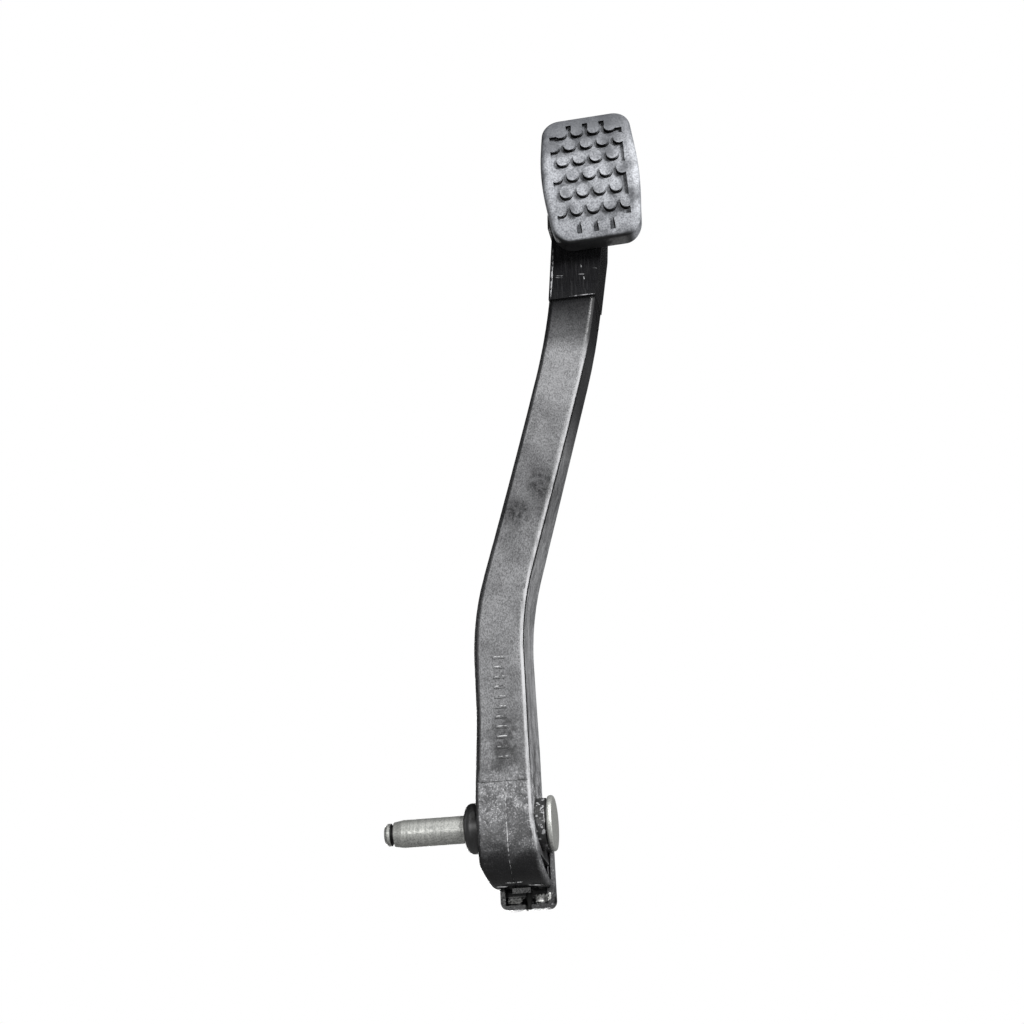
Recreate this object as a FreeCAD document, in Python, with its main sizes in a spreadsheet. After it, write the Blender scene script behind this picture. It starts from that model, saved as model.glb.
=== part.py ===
import FreeCAD, Part
import math
import os
import re
import Sketcher

# Clutch pedal, millimetres.  The origin lies on the pivot axis at the shoulder of the pivot pin.
# X runs along the pivot towards the pin head, Y away from the driver's foot, Z up to the tread pad.

PARTS_DIR = "parts"

SIZES = (
    ("spigot_dia", 12.0, "free end of the pivot pin, taken by the pedal bracket"),
    ("spigot_long", 27.5, "full-diameter length of the free end"),
    ("lead_long", 4.0, "tapered lead-in"),
    ("lead_dia", 10.6, "small end of the lead-in"),
    ("groove_dia", 8.2, "clip groove"),
    ("groove_wide", 1.5, "clip groove"),
    ("nose_dia", 9.8, "nose outside the clip groove"),
    ("nose_long", 2.75, "nose outside the clip groove"),
    ("nose_bevel", 1.4, "bevel of the nose"),
    ("journal_dia", 14.0, "running part of the pivot pin"),
    ("head_dia", 24.0, "pin head"),
    ("head_thick", 2.6, "pin head"),
    ("head_round", 1.1, "rounding of the head rim"),
    ("run_clear", 0.05, "radial running clearance, journal to bush"),
    ("press_clear", 0.02, "radial clearance, bush to hub bore"),
    ("face_gap", 0.3, "gap between facing parts"),
    ("bush_wall", 2.0, "sleeve wall of a bush"),
    ("bush_sleeve", 9.0, "sleeve length inside the hub"),
    ("flange_dia", 22.0, "collar of a bush"),
    ("left_collar", 6.4, "collar length, spigot side"),
    ("left_round", 3.4, "rounding of the collar, spigot side"),
    ("right_collar", 4.5, "collar length, head side"),
    ("right_round", 0.8, "rounding of the collar, head side"),
    ("hub_wide", 24.6, "hub between the two collars"),
    ("boss_dia", 25.0, "tube around the hub bore"),
    ("spot_margin", 0.7, "spot face beyond the collar"),
    ("arm_wide", 22.4, "lower straight run of the arm"),
    ("lean_wide", 20.6, "leaning run of the arm"),
    ("top_extra", 1.0, "extra width on the outer side under the neck"),
    ("arm_lean", 17.65, "sideways lean of the middle run, degrees"),
    ("neck_lean", 8.0, "sideways lean of the neck, degrees"),
    ("bend_low", 91.7, "height of the lower sideways bend"),
    ("bend_high", 225.3, "height of the upper sideways bend"),
    ("round_low", 130.0, "radius of the lower sideways bend"),
    ("round_high", 280.0, "radius of the upper sideways bend"),
    ("hub_blend", 45.0, "height where the hub has narrowed to the arm"),
    ("hub_shoulder", 10.0, "height where the hub starts to narrow"),
    ("front_deep", 15.0, "pivot axis to the front face"),
    ("front_lean", 4.8, "lean of the upper front face towards the foot, degrees"),
    ("front_bend", 157.0, "height of the bend in the front face"),
    ("front_round", 830.0, "radius of the bend in the front face"),
    ("back_deep", 19.0, "pivot axis to the rear edge of the hub"),
    ("back_bend", 35.0, "height where the rear edge starts to run forward"),
    ("back_top", 230.0, "height where the rear edge meets the neck"),
    ("edge_round", 2.3, "rounding of the two long front edges"),
    ("wall", 2.8, "wall of the channel"),
    ("rib_thick", 2.0, "cross rib"),
    ("rib_count", 9, "cross ribs in the channel"),
    ("rib_first", 36.0, "height of the first cross rib"),
    ("rib_pitch", 21.5, "spacing of the cross ribs"),
    ("rib_angle", 33.0, "slant of the cross ribs, degrees"),
    ("rib_setback", 2.5, "cross ribs below the rear edge"),
    ("skirt_low", 26.0, "pivot axis to the lower edge of the skirt"),
    ("skirt_round", 20.5, "radius of the skirt"),
    ("skirt_wall", 2.6, "wall of the skirt beside the pocket"),
    ("claw_low", 34.6, "pivot axis to the lower end of the claw"),
    ("claw_wide", 23.6, "claw"),
    ("claw_shift", 4.0, "claw towards the pin head, hub edge to claw edge"),
    ("claw_front", 10.5, "pivot axis to the front of the claw"),
    ("skirt_ledge", 1.7, "lower edge of the skirt beyond the claw, spigot side"),
    ("claw_round", 3.5, "rounded lower corners of the claw"),
    ("lever_bulge", 1.9, "skirt beyond the hub on the head side"),
    ("lever_mid", 14.0, "pivot axis to the kink of the skirt edge, head side"),
    ("lever_left", 17.0, "pivot axis to the kink of the skirt edge, spigot side"),
    ("kink_soft", 50.0, "rounding of the slight kinks of hub and lever"),
    ("slot_wide", 2.8, "cable slot"),
    ("nipple_dia", 7.0, "cable nipple that the seat takes"),
    ("nipple_long", 18.1, "cable nipple that the seat takes"),
    ("nipple_clear", 0.25, "radial clearance of the nipple seat"),
    ("seat_low", 28.9, "pivot axis to the axis of the nipple seat"),
    ("seat_shift", 0.7, "middle of the nipple seat off the slot, spigot side"),
    ("pocket_web", 11.0, "web left beside the lever pocket"),
    ("pocket_top", 13.2, "pivot axis to the top of the lever pocket"),
    ("pocket_slope", 3.6, "fall of the pocket top from front to rear"),
    ("pocket_rib", 1.2, "rib in the lever pocket"),
    ("pocket_ribs", 3, "ribs in the lever pocket"),
    ("rear_wall", 4.2, "wall behind the lever pocket"),
    ("flange_top", 9.3, "pivot axis to the top of the rear flange"),
    ("flange_roof", 1.2, "roof of the rear flange"),
    ("flange_deep", 3.0, "roof and ribs in front of the rear flange"),
    ("flange_rib", 0.6, "rib on the rear flange"),
    ("flange_pitch", 1.4, "spacing of the ribs on the rear flange"),
    ("flange_ribs", 3, "ribs on the rear flange"),
    ("tab_wide", 8.0, "finger over the nipple seat"),
    ("tab_thick", 2.4, "finger over the nipple seat"),
    ("tab_shift", 2.2, "end of the finger beyond the middle of the cable slot"),
    ("tab_long", 2.2, "finger over the nipple seat"),
    ("line_wide", 0.45, "mould witness line"),
    ("line_deep", 0.3, "mould witness line"),
    ("line_high", 17.2, "height of the witness line across the hub"),
    ("tick_count", 11, "plain raised ticks on the arm"),
    ("tick_first", 27.0, "height of the first tick"),
    ("tick_pitch", 4.4, "spacing of the ticks"),
    ("tick_wide", 5.0, "plain raised tick"),
    ("tick_thick", 1.1, "plain raised tick"),
    ("tick_raise", 0.35, "plain raised tick"),
    ("neck_start", 236.2, "height of the step under the neck"),
    ("neck_proud", 1.5, "neck in front of the arm"),
    ("neck_wide", 22.0, "neck"),
    ("neck_spread", 2.4, "widening of the neck on each side up to its top"),
    ("neck_shift", 0.1, "neck edge inside the arm edge, spigot side"),
    ("neck_top", 303.0, "top of the neck behind the pad"),
    ("neck_back", 263.0, "height where the neck starts to run forward"),
    ("neck_thin", 31.0, "rear of the neck at its top, in front of the pivot axis"),
    ("neck_meet", 266.0, "height where the neck joins the pad plate"),
    ("pad_x", 78.2, "middle of the tread, along the pivot axis"),
    ("pad_y", 48.0, "middle of the tread, in front of the pivot axis"),
    ("pad_z", 285.6, "middle of the tread, above the pivot axis"),
    ("pad_tilt", 7.2, "lean of the tread towards the foot, degrees"),
    ("pad_roll", 1.5, "turn of the tread in its own plane, degrees"),
    ("pad_half", 22.9, "half width of the tread at its middle"),
    ("side_fall", 3.1, "narrowing of the tread on each side, middle to ends"),
    ("pad_reach", 30.8, "middle row of the tread to its upper edge"),
    ("pad_low", 29.6, "middle row of the tread to its lower edge"),
    ("pad_barrel", 120.0, "side radius of the tread"),
    ("pad_corner", 8.5, "corner radius of the tread"),
    ("pad_edge", 3.0, "rounding of the tread rim"),
    ("crown", 60.0, "crown radius of the tread"),
    ("face_thick", 4.0, "rubber in front of the pad plate"),
    ("plate_thick", 3.2, "pad plate"),
    ("lip_thick", 1.8, "rubber lip behind the pad plate"),
    ("lip_wide", 4.0, "rubber lip behind the pad plate"),
    ("rim_wide", 2.6, "rubber outside the pad plate"),
    ("tread_deep", 2.0, "depth of the tread"),
    ("recess_half", 16.8, "half width of the sunk tread field"),
    ("recess_reach", 26.4, "half height of the sunk tread field"),
    ("field_corner", 1.8, "corners of the sunk field, inwards of the outer rows"),
    ("dot_dia", 5.5, "tread dot"),
    ("dot_pitch", 7.66, "tread dots along a row"),
    ("row_pitch", 7.76, "rows of tread dots, along the crown"),
    ("lobe_neck", 5.1, "web between an edge dot and the rim"),
    ("reach", 240.0, "length of construction prisms"),
)

DERIVED = (
    ("spigot_rad", "spigot_dia / 2"),
    ("journal_rad", "journal_dia / 2"),
    ("lead_end", "-spigot_long - lead_long"),
    ("groove_end", "lead_end - groove_wide"),
    ("nose_end", "groove_end - nose_long"),
    ("hub_left", "2 * face_gap + left_collar"),
    ("hub_right", "hub_left + hub_wide"),
    ("head_face", "hub_right + 2 * face_gap + right_collar"),
    ("bush_bore", "journal_rad + run_clear"),
    ("bush_rad", "bush_bore + bush_wall"),
    ("hub_bore", "bush_rad + press_clear"),
    ("flange_rad", "flange_dia / 2"),
    ("arm_right", "hub_right"),
    ("arm_left", "arm_right - arm_wide"),
    ("arm_mid", "arm_right - arm_wide / 2"),
    ("lean_half", "lean_wide / 2 / cos(arm_lean)"),
    ("high_mid", "arm_mid + (bend_high - bend_low) * tan(arm_lean)"),
    ("turn", "tan(arm_lean) - tan(neck_lean)"),
    ("right_half", "lean_wide / 2 / cos(neck_lean)"),
    ("left_half", "right_half + top_extra"),
    ("high_right", "(lean_half - right_half) / turn"),
    ("high_left", "(lean_half - left_half) / turn"),
    ("arm_top", "neck_start + 10 * wall"),
    ("top_mid", "high_mid + (arm_top - bend_high) * tan(neck_lean)"),
    ("claw_right", "hub_right + claw_shift"),
    ("claw_left", "claw_right - claw_wide"),
    ("slot_mid", "(claw_left + claw_right) / 2 + 0.35"),
    ("seat_rad", "nipple_dia / 2 + nipple_clear"),
    ("seat_mid", "slot_mid - seat_shift"),
    ("seat_half", "nipple_long / 2 + nipple_clear"),
    ("neck_front", "front_deep + (neck_start - front_bend) * tan(front_lean) + neck_proud"),
    ("neck_left", "high_mid - left_half + (neck_start - bend_high) * tan(neck_lean) + neck_shift"),
    ("neck_run", "(neck_top - neck_start) * tan(neck_lean)"),
    ("pad_end", "pad_half - side_fall"),
    ("plate_out", "crown - face_thick - face_gap"),
    ("plate_in", "plate_out - plate_thick"),
    ("cavity_out", "crown - face_thick"),
    ("cavity_in", "plate_in - face_gap"),
    ("pad_back", "cavity_in - lip_thick"),
    ("pad_floor", "crown - tread_deep"),
)

NAMES = {row[0] for row in SIZES} | {row[0] for row in DERIVED}

doc = FreeCAD.newDocument("clutch_pedal")
sheet = doc.addObject("Spreadsheet::Sheet", "Sizes")


def fill_sheet():
    """Write every size, then every derived size, each with its alias."""
    line = 1
    for name, size, note in SIZES:
        sheet.set(f"A{line}", note)
        sheet.set(f"B{line}", str(size))
        sheet.setAlias(f"B{line}", name)
        line += 1
    for name, formula in DERIVED:
        sheet.set(f"A{line}", name)
        sheet.set(f"B{line}", "=" + formula)
        sheet.setAlias(f"B{line}", name)
        line += 1
    doc.recompute()


def bound(text):
    """Expression text with every size name pointed at the sheet."""
    def named(hit):
        word = hit.group(0)
        return "Sizes." + word if word in NAMES else word
    return re.sub(r"[a-z_]+", named, text)


def number(text):
    """Present value of an expression."""
    result = sheet.evalExpression(bound(text))
    return float(getattr(result, "Value", result))


def tie(sketch, geometry, pair):
    """Hold the first point of a sketch element at a pair of expressions measured from the origin."""
    for kind, axis, text in (("DistanceX", -2, pair[0]), ("DistanceY", -1, pair[1])):
        if text == "0":
            sketch.addConstraint(Sketcher.Constraint("PointOnObject", geometry, 1, axis))
            continue
        index = sketch.addConstraint(Sketcher.Constraint(kind, -1, 1, geometry, 1, number(text)))
        sketch.setExpression(f"Constraints[{index}]", bound(text))


def corner_arc(before, corner, after, radius):
    """Tangent points, arc and turn of a rounded corner."""
    arrive = (before - corner).normalize()
    leave = (after - corner).normalize()
    half = arrive.getAngle(leave) / 2
    first = corner + arrive * (radius / math.tan(half))
    second = corner + leave * (radius / math.tan(half))
    centre = corner + (arrive + leave).normalize() * (radius / math.sin(half))
    left_turn = arrive.cross(leave).z < 0
    start, stop = (first, second) if left_turn else (second, first)
    angles = [math.atan2(end.y - centre.y, end.x - centre.x) for end in (start, stop)]
    circle = Part.Circle(centre, FreeCAD.Vector(0, 0, 1), radius)
    return first, second, Part.ArcOfCircle(circle, *angles), left_turn


def outline(body, name, plane, corners):
    """Closed sketch; each corner is a pair of expressions, with a third one where the corner is rounded."""
    sketch = body.newObject("Sketcher::SketchObject", name)
    flat = next(feature for feature in body.Origin.OriginFeatures if feature.Role == plane)
    sketch.AttachmentSupport = [(flat, "")]
    sketch.MapMode = "FlatFace"
    points = [FreeCAD.Vector(number(corner[0]), number(corner[1]), 0) for corner in corners]
    count = len(points)
    arriving, leaving, arcs = list(points), list(points), {}
    for i, corner in enumerate(corners):
        if len(corner) == 3:
            found = corner_arc(points[i - 1], points[i], points[(i + 1) % count], number(corner[2]))
            arriving[i], leaving[i], arcs[i] = found[0], found[1], found[2:]
    for i in range(count):
        sketch.addGeometry(Part.LineSegment(leaving[i], arriving[(i + 1) % count]))
    for i, corner in enumerate(corners):
        before = (i - 1) % count
        if i not in arcs:
            sketch.addConstraint(Sketcher.Constraint("Coincident", before, 2, i, 1))
            tie(sketch, i, corner)
            continue
        arc, left_turn = arcs[i]
        bend = sketch.addGeometry(arc)
        first, second = (1, 2) if left_turn else (2, 1)
        sketch.addConstraint(Sketcher.Constraint("Tangent", before, 2, bend, first))
        sketch.addConstraint(Sketcher.Constraint("Tangent", bend, second, i, 1))
        index = sketch.addConstraint(Sketcher.Constraint("Radius", bend, number(corner[2])))
        sketch.setExpression(f"Constraints[{index}]", bound(corner[2]))
        tip = sketch.addGeometry(Part.Point(points[i]), True)
        tie(sketch, tip, corner)
        for side in (before, i):
            sketch.addConstraint(Sketcher.Constraint("PointOnObject", tip, 1, side))
    return sketch


def prism(name, plane, corners):
    """Outline on an origin plane carried equally to both sides."""
    body = doc.addObject("PartDesign::Body", name)
    sketch = outline(body, name + "_outline", plane, corners)
    pad = body.newObject("PartDesign::Pad", name + "_pad")
    pad.Profile = sketch
    pad.SideType = "Symmetric"
    pad.setExpression("Length", bound("2 * reach"))
    body.Tip = pad
    doc.recompute()
    return body


def round_edges(body, name, radius, picks):
    """Fillet the chosen edges of a body's last feature."""
    last = body.Tip
    fillet = body.newObject("PartDesign::Fillet", name)
    fillet.Base = (last, picks)
    fillet.setExpression("Radius", bound(radius))
    body.Tip = fillet
    last.Visibility = False
    doc.recompute()


def revolved(name, corners):
    """Body turned about X from corners given as distance along the axis and radius."""
    body = doc.addObject("PartDesign::Body", name)
    sketch = outline(body, name + "_outline", "XZ_Plane", corners)
    turned = body.newObject("PartDesign::Revolution", name + "_turned")
    turned.Profile = sketch
    turned.ReferenceAxis = (sketch, ["H_Axis"])
    turned.Angle = 360.0
    body.Tip = turned
    doc.recompute()
    return body


def ring_edges(body, station, radius):
    """Names of circular edges at one station along X with one radius."""
    picks = []
    for index, edge in enumerate(body.Shape.Edges, 1):
        curve = edge.Curve
        if not isinstance(curve, Part.Circle):
            continue
        if abs(curve.Center.x - number(station)) < 0.01 and abs(curve.Radius - number(radius)) < 0.01:
            picks.append(f"Edge{index}")
    return picks


def box(name, x_from, x_to, y_from, y_to, z_from, z_to):
    """Box between six expressions."""
    block = doc.addObject("Part::Box", name)
    spans = (("Length", "x", x_from, x_to), ("Width", "y", y_from, y_to), ("Height", "z", z_from, z_to))
    for side, axis, low, high in spans:
        block.setExpression(side, bound(f"({high}) - ({low})"))
        block.setExpression(f"Placement.Base.{axis}", bound(low))
    return block


def rod(name, axis, radius, low, high, first, second):
    """Cylinder along X or Y between two expressions; the other two coordinates follow in order."""
    bar = doc.addObject("Part::Cylinder", name)
    bar.setExpression("Radius", bound(radius))
    bar.setExpression("Height", bound(f"({high}) - ({low})"))
    if axis == "x":
        spin = FreeCAD.Rotation(FreeCAD.Vector(0, 1, 0), 90)
        places = {"x": low, "y": first, "z": second}
    else:
        spin = FreeCAD.Rotation(FreeCAD.Vector(1, 0, 0), -90)
        places = {"x": first, "y": low, "z": second}
    bar.Placement = FreeCAD.Placement(FreeCAD.Vector(), spin)
    for letter, text in places.items():
        bar.setExpression(f"Placement.Base.{letter}", bound(text))
    return bar


def joined(name, pieces):
    """Union of several shapes."""
    result = doc.addObject("Part::MultiFuse", name)
    result.Shapes = pieces
    return result


def shared(name, pieces):
    """Common part of several shapes."""
    result = doc.addObject("Part::MultiCommon", name)
    result.Shapes = pieces
    return result


def less(name, base, tool):
    """Base without tool."""
    result = doc.addObject("Part::Cut", name)
    result.Base = base
    result.Tool = tool
    return result


def make_pin():
    """Stepped pivot pin: nose, clip groove, lead-in, spigot, shoulder, journal and flat round head."""
    corners = [
        ("nose_end", "0"), ("nose_end", "nose_dia / 2 - nose_bevel"), ("nose_end + nose_bevel", "nose_dia / 2"),
        ("groove_end", "nose_dia / 2"), ("groove_end", "groove_dia / 2"), ("lead_end", "groove_dia / 2"),
        ("lead_end", "lead_dia / 2"), ("-spigot_long", "spigot_rad"), ("0", "spigot_rad"), ("0", "journal_rad"),
        ("head_face", "journal_rad"), ("head_face", "head_dia / 2"), ("head_face + head_thick", "head_dia / 2"),
        ("head_face + head_thick", "0"),
    ]
    pin = revolved("pivot_pin", corners)
    rim = ring_edges(pin, "head_face", "head_dia / 2")
    rim += ring_edges(pin, "head_face + head_thick", "head_dia / 2")
    round_edges(pin, "head_rim", "head_round", rim)
    return pin


def make_bush(name, face, way, collar, rounding):
    """Collared bush; face is the hub face and way (1 or -1) points from the hub to the collar."""
    near = f"{face} + ({way}) * face_gap"
    far = f"{near} + ({way}) * {collar}"
    deep = f"{face} - ({way}) * bush_sleeve"
    corners = [(deep, "bush_bore"), (far, "bush_bore"), (far, "flange_rad"), (near, "flange_rad"),
               (near, "bush_rad"), (deep, "bush_rad")]
    bush = revolved(name, corners)
    round_edges(bush, name + "_rounding", rounding, ring_edges(bush, far, "flange_rad"))
    return bush


def arm_edges(inset):
    """Rounded corners of the arm in front view, up the head side and down the other, drawn in by an inset."""
    lean_in = f"({inset}) / cos(arm_lean)"
    neck_in = f"({inset}) / cos(neck_lean)"
    slide = f"({neck_in} - {lean_in}) / turn"
    low_right = f"bend_low + (arm_right - ({inset}) - lean_half + {lean_in} - arm_mid) / tan(arm_lean)"
    low_left = f"bend_low + (arm_left + ({inset}) + lean_half - {lean_in} - arm_mid) / tan(arm_lean)"
    high_right = (f"high_mid + lean_half - {lean_in} - (high_right + {slide}) * tan(arm_lean)",
                  f"bend_high - high_right - {slide}", "round_high")
    high_left = (f"high_mid - lean_half + {lean_in} + (high_left + {slide}) * tan(arm_lean)",
                 f"bend_high + high_left + {slide}", "round_high")
    return [(f"arm_right - ({inset})", low_right, f"round_low + ({inset})"), high_right,
            (f"top_mid + right_half - {neck_in}", "arm_top"), (f"top_mid - left_half + {neck_in}", "arm_top"),
            high_left, (f"arm_left + ({inset})", low_left, f"round_low - ({inset})")]


def front_form():
    """Front view of arm, hub, skirt and claw."""
    corners = [("claw_right", "-claw_low", "claw_round"), ("claw_right", "-skirt_low"),
               ("hub_right + lever_bulge", "-lever_mid"), ("arm_right", "hub_shoulder / 3", "kink_soft")]
    corners += arm_edges("0 * wall")
    corners += [("arm_left", "hub_blend", "3 * kink_soft"), ("hub_left", "hub_shoulder", "3 * kink_soft"),
                ("hub_left", "-lever_left"), ("claw_left - skirt_ledge", "-skirt_low"),
                ("claw_left", "-skirt_low"), ("claw_left", "-claw_low", "claw_round")]
    return prism("front_form", "XZ_Plane", corners)


def side_form(name, inset, back_in):
    """Side view of arm, hub, skirt and claw, drawn in by an inset at the front and another at the back."""
    top_front = f"-front_deep - (arm_top - front_bend) * tan(front_lean) + {inset}"
    corners = [(f"-front_deep + {inset}", f"-skirt_low + {inset}", f"skirt_round - ({inset})"),
               ("claw_front", f"-skirt_low + {inset}"), ("claw_front", "-claw_low"),
               (f"back_deep - {back_in}", "-claw_low"), (f"back_deep - {back_in}", "back_bend"),
               (f"-({back_in})", "back_top"), (f"-({back_in})", "arm_top"), (top_front, "arm_top"),
               (f"-front_deep + {inset}", "front_bend", "front_round")]
    return prism(name, "YZ_Plane", corners)


def long_front_edges(shape):
    """Edges between the front skin, which has no sideways slope, and the upright sides of the blank."""
    picks = []
    for index, edge in enumerate(shape.Edges, 1):
        middle = edge.valueAt((edge.FirstParameter + edge.LastParameter) / 2)
        faces = shape.ancestorsOfType(edge, Part.Face)
        normals = [face.normalAt(*face.Surface.parameter(middle)) for face in faces]
        front = [n for n in normals if abs(n.x) < 0.001 and n.y < -0.02]
        side = [n for n in normals if abs(n.y) < 0.001 and abs(n.x) > 0.5]
        if front and side and middle.y < number("claw_front") - 0.5:
            picks.append(f"Edge{index}")
    return picks


def arm_blank():
    """Outside of arm, hub, skirt and claw with both long front edges rounded."""
    rough = shared("arm_rough", [front_form(), side_form("side_form", "0 * wall", "0 * wall")])
    doc.recompute()
    body = doc.addObject("PartDesign::Body", "arm_blank")
    body.BaseFeature = rough
    doc.recompute()
    round_edges(body, "front_edges", "edge_round", long_front_edges(body.Shape))
    below = box("below_neck", "-reach", "reach", "-reach", "reach", "-reach", "neck_start")
    return shared("arm_outside", [body, below])


def arm_channel():
    """Room inside the arm, open to the rear, from the hub tube up to the neck."""
    corners = [("arm_right - wall", "-hub_shoulder")] + arm_edges("wall")
    corners += [("arm_left + wall", "hub_blend"), ("hub_left + wall", "hub_shoulder"),
                ("hub_left + wall", "-hub_shoulder")]
    top_front = "wall - front_deep - (neck_start - wall - front_bend) * tan(front_lean)"
    depth = [("wall - front_deep", "-hub_shoulder"), ("3 * back_deep", "-hub_shoulder"),
             ("3 * back_deep", "neck_start - wall"), (top_front, "neck_start - wall"),
             ("wall - front_deep", "front_bend", "9 * front_round / 10")]
    front = prism("channel_front", "XZ_Plane", corners)
    return shared("channel", [front, prism("channel_side", "YZ_Plane", depth)])


def cross_ribs(blank):
    """Zigzag ribs across the channel, kept below its rear edge."""
    bars = []
    for i in range(int(number("rib_count"))):
        height = f"(rib_first + {i} * rib_pitch)"
        middle = f"arm_mid + max(0; {height} - bend_low) * tan(arm_lean)"
        bar = doc.addObject("Part::Box", f"rib_bar_{i}")
        bar.setExpression("Length", bound("2 * arm_wide"))
        bar.setExpression("Width", bound("4 * back_deep"))
        bar.setExpression("Height", bound("rib_thick"))
        slant = "rib_angle" if i % 2 else "-rib_angle"
        turn = f"rotation(vector(0; 1; 0); {slant} + min(1; max(0; {height} - bend_low)) * arm_lean)"
        place = f"placement(vector({middle}; -2 * back_deep; {height}); {turn})"
        shift = "placement(vector(-arm_wide; 0; -rib_thick / 2); rotation(vector(0; 1; 0); 0))"
        bar.setExpression("Placement", bound(f"{place} * {shift}"))
        bars.append(bar)
    zone = side_form("rib_side", "edge_round", "rib_setback")
    return shared("cross_ribs", [joined("rib_bars", bars), blank, zone])


def lever_pocket():
    """Pocket in the head side of the lever with upright ribs standing in it."""
    corners = [("-2 * front_deep", "-claw_low"), ("back_deep - rear_wall", "-claw_low"),
               ("back_deep - rear_wall", "-pocket_top - pocket_slope"), ("-front_deep", "-pocket_top"),
               ("-2 * front_deep", "-pocket_top")]
    under = prism("pocket_under", "YZ_Plane", corners)
    room = side_form("pocket_side", "skirt_wall", "0 * wall")
    above = box("pocket_width", "hub_left + pocket_web", "reach", "-reach", "reach", "-skirt_low + skirt_wall",
                "0 * wall")
    ribs = []
    for i in range(int(number("pocket_ribs"))):
        span = "(front_deep + back_deep - rear_wall)"
        middle = f"(-front_deep + skirt_wall + ({i} + 1) * {span} / (pocket_ribs + 2))"
        ribs.append(box(f"pocket_rib_{i}", "0 * wall", "hub_right - 0.5", f"{middle} - pocket_rib / 2",
                        f"{middle} + pocket_rib / 2", "-reach", "0 * wall"))
    return less("lever_pocket", shared("pocket_room", [room, under, above]), joined("pocket_ribs_all", ribs))


def rear_flange():
    """Flange behind the lever pocket, as wide as the claw, with a roof and fine upright ribs."""
    face, top = "back_deep - rear_wall", "-flange_top"
    roof = box("flange_roof_plate", "hub_right - wall", "claw_right", f"{face} - flange_deep", "back_deep",
               f"{top} - flange_roof", top)
    plate = box("flange_plate", "slot_mid + slot_wide", "claw_right", face, "back_deep",
                "-claw_low + claw_round", top)
    ribs = []
    for i in range(int(number("flange_ribs"))):
        edge = f"claw_right - flange_rib - {i} * flange_pitch"
        ribs.append(box(f"flange_rib_{i}", f"{edge} - flange_rib", edge, f"{face} - flange_deep",
                        "back_deep - rear_wall / 2", "-skirt_low + skirt_wall / 2", f"{top} - flange_roof / 2"))
    return [roof, plate] + ribs


def claw_cuts():
    """Cable slot and the half-round nipple seat in the claw."""
    slot = box("cable_slot", "slot_mid - slot_wide / 2", "slot_mid + slot_wide / 2", "0 * wall", "reach",
               "-reach", "-skirt_low - 0.4")
    seat = rod("nipple_seat", "x", "seat_rad", "seat_mid - seat_half", "seat_mid + seat_half", "claw_front",
               "-seat_low")
    return [slot, seat]


def witness_lines(blank):
    """Shallow lines left in the hub skin where the mould slides meet."""
    skin = less("skin", blank, side_form("skin_inner", "line_deep", "0 * wall"))
    across = box("line_across", "0 * wall", "2 * hub_right", "-2 * front_deep", "0 * wall",
                 "line_high - line_wide / 2", "line_high + line_wide / 2")
    middle = "(hub_left + hub_right) / 2 + 1.2"
    upright = box("line_upright", f"{middle} - line_wide / 2", f"{middle} + line_wide / 2", "-2 * front_deep",
                  "claw_front / 3", "-reach", "line_high")
    return shared("witness_lines", [joined("line_bars", [across, upright]), skin])


def neck_block():
    """Square-edged neck in front of the arm, running up behind the pad plate."""
    def across(inset):
        return [(f"neck_left + {inset}", "neck_start"), (f"neck_left + neck_wide - {inset}", "neck_start"),
                (f"neck_left + neck_wide + neck_run + neck_spread - {inset}", "neck_top"),
                (f"neck_left + neck_run - neck_spread + {inset}", "neck_top")]
    depth = [("-neck_front", "neck_start"), ("0", "neck_start"), ("0", "neck_back"), ("-neck_thin", "neck_top"),
             ("-2 * neck_front", "neck_top"), ("-2 * neck_front", "neck_meet"), ("-neck_front", "neck_meet")]
    solid = shared("neck_solid", [prism("neck_across", "XZ_Plane", across("0 * wall")),
                                  prism("neck_depth", "YZ_Plane", depth)])
    core_depth = [("wall - neck_front", "neck_start + wall"), ("reach", "neck_start + wall"),
                  ("reach", "neck_top - 2 * wall"), ("-neck_thin", "neck_top - 2 * wall"),
                  ("-neck_thin", "neck_meet + wall"), ("wall - neck_front", "neck_meet + wall")]
    core = shared("neck_core", [prism("core_across", "XZ_Plane", across("wall")),
                                prism("core_depth", "YZ_Plane", core_depth)])
    ahead = less("neck_ahead", box("ahead_box", "-pad_half * 2", "pad_half * 2", "-crown", "crown",
                                   "-pad_reach * 2", "pad_reach * 2"),
                 rod("ahead_rod", "x", "(plate_in + plate_out) / 2", "-pad_half * 3", "pad_half * 3", "crown",
                     "0"))
    put_on_tread(ahead)
    upper = box("ahead_upper", "-reach", "reach", "-reach", "reach", "neck_meet - wall", "2 * reach")
    lip_room = less("lip_room", crowned("lip_shell", "(-face_gap)", "plate_out", "pad_back - face_gap"),
                    barrel("lip_inside", "(rim_wide + lip_wide + face_gap)"))
    put_on_tread(lip_room)
    cuts = [core, shared("neck_front_cut", [ahead, upper]), lip_room]
    return less("neck", solid, joined("neck_cuts", cuts))


def put_on_tread(thing):
    """Move a shape drawn about the middle of the tread to its place on the pedal."""
    turn = "rotation(vector(1; 0; 0); pad_tilt) * rotation(vector(0; -1; 0); pad_roll)"
    thing.setExpression("Placement", bound(f"placement(vector(pad_x; -pad_y; pad_z); {turn})"))


def barrel(name, margin):
    """Barrel-sided outline of the tread carried through, drawn in by a margin."""
    side, tip = f"pad_barrel - {margin}", f"pad_corner - ({margin}) / 2"
    wide, end = f"pad_half - {margin}", f"pad_end - {margin}"
    top, low = f"pad_reach - {margin}", f"{margin} - pad_low"
    corners = [(wide, "0", side), (end, top, tip), (f"-({end})", top, tip), (f"-({wide})", "0", side),
               (f"-({end})", low, tip), (end, low, tip)]
    return prism(name, "XZ_Plane", corners)


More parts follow.
